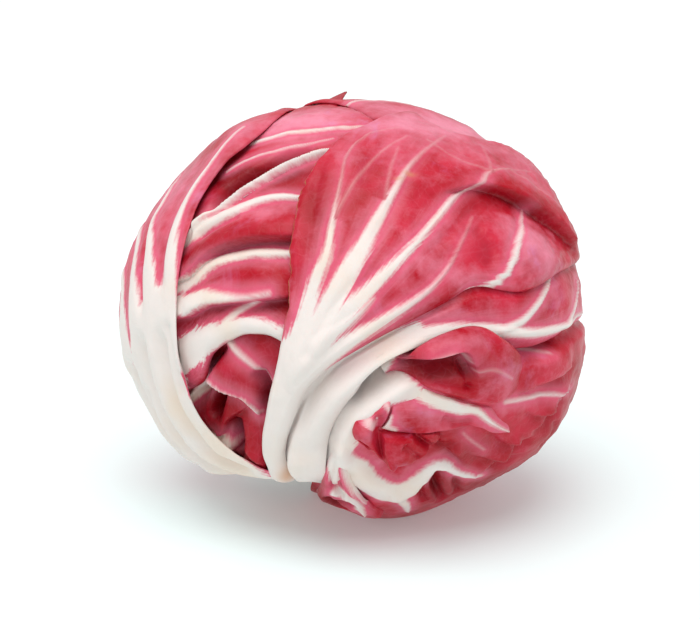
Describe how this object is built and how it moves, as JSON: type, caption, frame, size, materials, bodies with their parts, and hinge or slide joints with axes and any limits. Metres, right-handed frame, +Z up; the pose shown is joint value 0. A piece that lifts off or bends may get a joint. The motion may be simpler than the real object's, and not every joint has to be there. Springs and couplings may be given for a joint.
{
  "type": "radicchio head",
  "caption": "Round head of red radicchio: cupped red leaves with white ribs and veins wrapped round a short cut stem, resting on a small flat spot.",
  "frame": {"origin": "on the flat resting spot under the middle of the head", "axes": "+Z up, the face of the head towards -Y, +X to the right of the face; the cut stem points down, forwards and to the left"},
  "size_m": [0.1295, 0.12, 0.112],
  "materials": {
    "outer_leaf": "waxy leaf, wine red between white ribs, soft gloss",
    "heart_leaf": "tender leaf, pale pink and red, soft gloss",
    "stem": "cut stem, cream with a browned face, matt"
  },
  "bodies": {
    "root": {"lower_wrapper": "outer_leaf", "left_wrapper": "outer_leaf", "front_wrapper": "outer_leaf", "right_wrapper": "outer_leaf", "second_leaf": "outer_leaf", "crumpled_leaf": "outer_leaf", "rear_wrapper": "outer_leaf", "rear_right_wrapper": "outer_leaf", "rear_left_wrapper": "outer_leaf", "crown_leaf": "outer_leaf", "pale_leaf": "outer_leaf", "heart_leaf_01": "heart_leaf", "heart_leaf_02": "heart_leaf", "heart_leaf_03": "heart_leaf", "heart_leaf_04": "heart_leaf", "heart_leaf_05": "heart_leaf", "heart_leaf_06": "heart_leaf", "heart_leaf_07": "heart_leaf", "heart_leaf_08": "heart_leaf", "heart_leaf_09": "heart_leaf", "heart_leaf_10": "heart_leaf", "heart_bud": "heart_leaf", "stem": "stem"}
  },
  "joints": []
}
